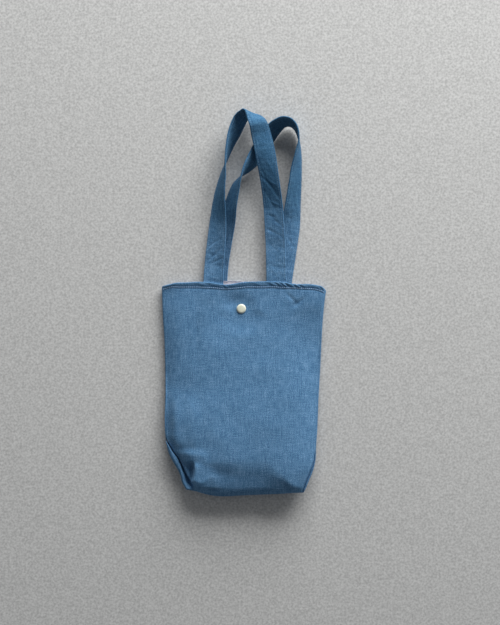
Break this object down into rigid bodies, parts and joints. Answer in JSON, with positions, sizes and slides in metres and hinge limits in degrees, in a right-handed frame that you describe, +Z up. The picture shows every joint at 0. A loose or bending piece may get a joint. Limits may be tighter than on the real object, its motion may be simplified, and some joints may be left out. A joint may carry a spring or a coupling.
{
  "type": "tote bag",
  "caption": "Small blue linen tote bag lying flat, with a boxed lower end, a hemmed mouth closed by a press stud, a pale cotton lining and flat strap handles.",
  "frame": {"origin": "on the ground under the middle of the body, on the flat underside of the back panel", "axes": "+Y up the bag towards the mouth and handles, +X to the right seen from the front, +Z up out of the front panel"},
  "size_m": [0.206, 0.4801, 0.0331],
  "materials": {
    "linen": "plain woven linen",
    "cotton": "plain woven cotton",
    "snap_cap": "pearly enamel",
    "snap_metal": "nickel plated"
  },
  "bodies": {
    "back": {"outer_back": "linen", "lining_back": "cotton", "back_snap_stud": "snap_metal", "back_snap_cap": "snap_cap"},
    "front": {"outer_front": "linen", "lining_front": "cotton", "front_snap_cap": "snap_cap", "front_snap_socket": "snap_metal"},
    "front_handle": {"front_handle": "linen"},
    "back_handle": {"back_handle": "linen"}
  },
  "joints": [
    {"name": "mouth_open", "type": "hinge", "parent": "back", "child": "front", "pos_m": [0, -0.13275, 0.0125], "axis": [1, 0, 0], "range_deg": [0, 12]},
    {"name": "front_handle_swing", "type": "hinge", "parent": "front", "child": "front_handle", "pos_m": [0, 0.13305, 0.0109], "axis": [1, 0, 0], "range_deg": [0, 165]},
    {"name": "back_handle_swing", "type": "hinge", "parent": "back", "child": "back_handle", "pos_m": [0, 0.13305, -0.001], "axis": [1, 0, 0], "range_deg": [-165, 0]}
  ]
}
